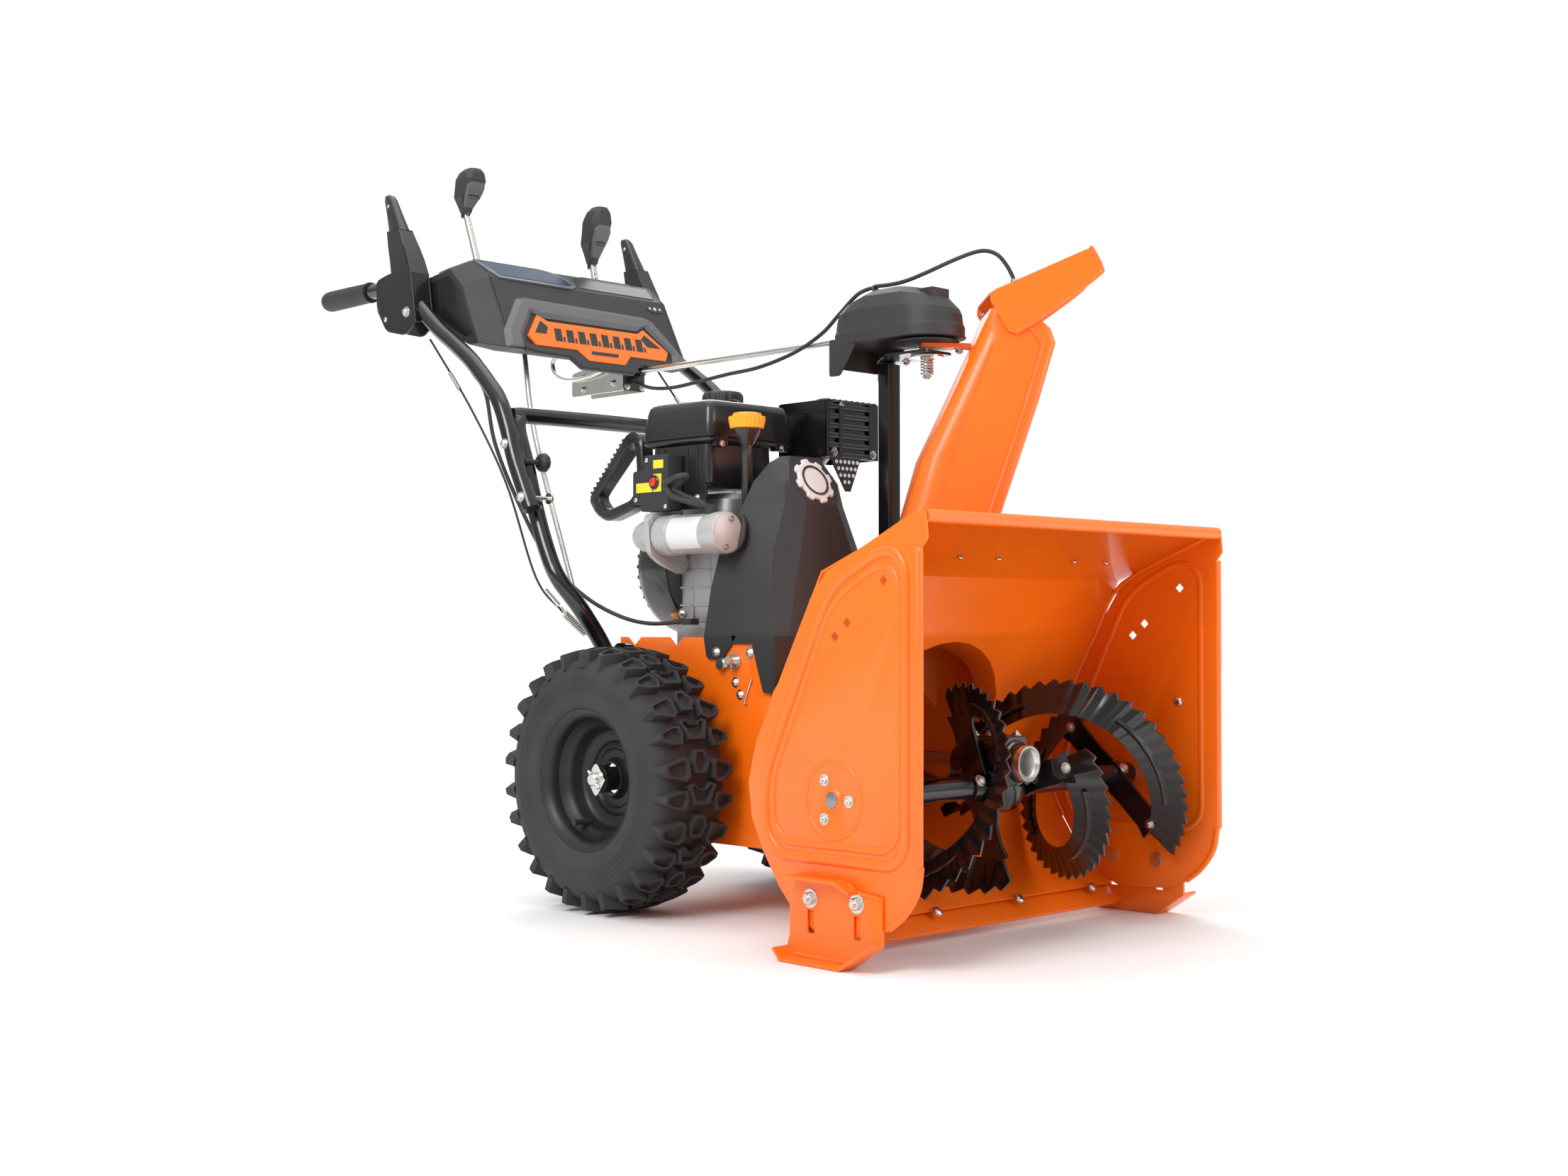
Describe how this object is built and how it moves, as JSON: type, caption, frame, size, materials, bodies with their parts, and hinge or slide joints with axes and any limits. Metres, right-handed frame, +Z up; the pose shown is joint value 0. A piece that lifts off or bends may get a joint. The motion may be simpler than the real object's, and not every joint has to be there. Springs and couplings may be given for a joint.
{
  "type": "snow blower",
  "caption": "Two-stage walk-behind snow blower with orange auger housing, turning chute, small engine, lugged tyres and operator handles.",
  "frame": {"origin": "ground level below the middle of the part's box: half way between the side plates' front edges and the grips' ends, on the machine's centre plane", "axes": "+Z up, -Y forward towards the auger housing's mouth, -X towards the operator's right-hand side"},
  "size_m": [0.676, 1.4, 1.169],
  "materials": {
    "orange_paint": "glossy powder coat",
    "black_paint": "gloss black paint",
    "black_plastic": "fine-grained satin moulding",
    "cast_alloy": "sand-cast, satin",
    "starter_paint": "satin light grey paint",
    "steel": "turned, lightly oiled",
    "zinc": "bright zinc plate",
    "rubber": "matte moulded rubber",
    "tyre": "new tyre rubber",
    "red_plastic": "gloss",
    "yellow_plastic": "satin",
    "cable_sheath": "smooth extruded sheath"
  },
  "bodies": {
    "chassis": {"tractor_frame": "orange_paint", "auger_housing": "orange_paint", "side_plate_right": "orange_paint", "skid_right": "orange_paint", "side_plate_left": "orange_paint", "skid_left": "orange_paint", "scraper_bar": "orange_paint", "auger_gearcase": "black_paint", "chute_ring": "black_plastic", "chute_head_plate": "black_paint", "chute_post": "black_paint", "chute_gear_cover": "black_plastic", "engine_block": "cast_alloy", "fan_housing": "black_plastic", "starter_motor": "starter_paint", "switch_box": "black_plastic", "carb_cover": "black_plastic", "fuel_tank": "black_plastic", "oil_tube": "black_plastic", "muffler_guard": "black_paint", "belt_cover": "black_plastic", "lower_handle": "black_paint", "upper_handle_right": "black_paint", "grip_right": "rubber", "upper_handle_left": "black_paint", "grip_left": "rubber", "dash_panel": "black_plastic", "clutch_cable_right": "zinc", "clutch_cable_left": "zinc", "deflector_cable": "cable_sheath", "deflector_cable_arc": "cable_sheath", "drive_belt": "rubber"},
    "wheels": {"drive_axle": "steel", "rim_right": "black_paint", "tyre_right": "tyre", "rim_left": "black_paint", "tyre_left": "tyre"},
    "hex_drive": {"hex_shaft": "steel"},
    "friction": {"friction_wheel": "rubber"},
    "disc": {"drive_disc": "cast_alloy"},
    "augers": {"auger_shaft": "steel", "auger_right": "black_paint", "auger_left": "black_paint"},
    "impeller_set": {"impeller": "black_paint", "impeller_shaft": "steel", "impeller_pulley": "cast_alloy"},
    "crank": {"crank_pulley": "cast_alloy"},
    "chute_body": {"chute": "orange_paint", "chute_arm": "orange_paint"},
    "deflector_body": {"deflector": "orange_paint"},
    "chute_shaft": {"chute_rod": "zinc"},
    "chute_stick": {"chute_lever": "black_plastic"},
    "speed_stick": {"speed_lever": "black_plastic"},
    "shift_link": {"shift_rod": "zinc"},
    "clutch_right": {"clutch_lever_right": "black_paint"},
    "clutch_left": {"clutch_lever_left": "black_paint"},
    "recoil": {"recoil_grip": "black_plastic"},
    "button": {"start_button": "red_plastic"},
    "tank_cap": {"fuel_cap": "black_plastic"},
    "dipstick": {"oil_cap": "yellow_plastic"}
  },
  "joints": [
    {"name": "axle_turn", "type": "hinge", "parent": "chassis", "child": "wheels", "pos_m": [0, -0.028, 0.188], "axis": [1, 0, 0], "continuous": true},
    {"name": "hex_turn", "type": "hinge", "parent": "chassis", "child": "hex_drive", "pos_m": [0, -0.094, 0.262], "axis": [1, 0, 0], "continuous": true},
    {"name": "friction_slide", "type": "slide", "parent": "hex_drive", "child": "friction", "axis": [1, 0, 0], "range_m": [-0.07, 0.034]},
    {"name": "disc_turn", "type": "hinge", "parent": "chassis", "child": "disc", "pos_m": [0, -0.15, 0.262], "axis": [0, 1, 0], "continuous": true},
    {"name": "auger_turn", "type": "hinge", "parent": "chassis", "child": "augers", "pos_m": [0, -0.549, 0.196], "axis": [1, 0, 0], "continuous": true},
    {"name": "impeller_turn", "type": "hinge", "parent": "chassis", "child": "impeller_set", "pos_m": [0, -0.34, 0.227], "axis": [0, 1, 0], "continuous": true},
    {"name": "crank_turn", "type": "hinge", "parent": "chassis", "child": "crank", "pos_m": [0, -0.212, 0.495], "axis": [0, 1, 0], "continuous": true},
    {"name": "chute_turn", "type": "hinge", "parent": "chassis", "child": "chute_body", "pos_m": [0.088, -0.354, 0.402], "axis": [0, 0, 1], "range_deg": [-142, 50], "deforming": ["deflector_cable_arc"]},
    {"name": "deflector_tilt", "type": "hinge", "parent": "chute_body", "child": "deflector_body", "pos_m": [0.1519, -0.4115, 0.866], "axis": [0.6691, 0.7431, 0], "range_deg": [0, 40], "deforming": ["deflector_cable_arc"]},
    {"name": "chute_rod_turn", "type": "hinge", "parent": "chassis", "child": "chute_shaft", "pos_m": [0.088, 0.05, 0.829], "axis": [0, 1, 0], "range_deg": [-15, 6]},
    {"name": "chute_stick_tilt", "type": "hinge", "parent": "chute_shaft", "child": "chute_stick", "pos_m": [0.088, 0.357, 0.829], "axis": [1, 0, 0], "range_deg": [0, 11]},
    {"name": "speed_shift", "type": "hinge", "parent": "chassis", "child": "speed_stick", "pos_m": [-0.11, 0.422, 0.925], "axis": [1, 0, 0], "range_deg": [-11, 5]},
    {"name": "shift_link_slide", "type": "slide", "parent": "chassis", "child": "shift_link", "axis": [-0.0828, -0.414, -0.9065], "range_m": [-0.008, 0.013]},
    {"name": "clutch_press_right", "type": "hinge", "parent": "chassis", "child": "clutch_right", "pos_m": [-0.248, 0.434, 0.905], "axis": [-1, 0, 0], "range_deg": [0, 36], "stiffness_Nm_per_rad": 0.8, "springref_deg": -34.38},
    {"name": "clutch_press_left", "type": "hinge", "parent": "chassis", "child": "clutch_left", "pos_m": [0.248, 0.434, 0.905], "axis": [-1, 0, 0], "range_deg": [0, 36], "stiffness_Nm_per_rad": 0.8, "springref_deg": -34.38},
    {"name": "recoil_pull", "type": "slide", "parent": "chassis", "child": "recoil", "axis": [0, 0.745, 0.667], "range_m": [0, 0.075], "stiffness_N_per_m": 20, "springref_m": -0.1},
    {"name": "start_press", "type": "slide", "parent": "chassis", "child": "button", "axis": [1, 0, 0], "range_m": [0, 0.003], "stiffness_N_per_m": 300, "springref_m": -0.001},
    {"name": "fuel_cap_turn", "type": "hinge", "parent": "chassis", "child": "tank_cap", "pos_m": [0, -0.02, 0.745], "axis": [0, 0, 1], "range_deg": [0, 90]},
    {"name": "dipstick_lift", "type": "slide", "parent": "chassis", "child": "dipstick", "axis": [0, 0, 1], "range_m": [0, 0.04]}
  ],
  "couplings": [
    {"joint": "hex_turn", "follows": "axle_turn", "ratio": -2.9},
    {"joint": "impeller_turn", "follows": "auger_turn", "ratio": 10},
    {"joint": "friction_slide", "follows": "speed_shift", "m_per_rad": 0.3},
    {"joint": "shift_link_slide", "follows": "speed_shift", "m_per_rad": -0.055},
    {"joint": "chute_rod_turn", "follows": "chute_turn", "ratio": 0.1},
    {"joint": "chute_stick_tilt", "follows": "deflector_tilt", "ratio": 0.27}
  ]
}
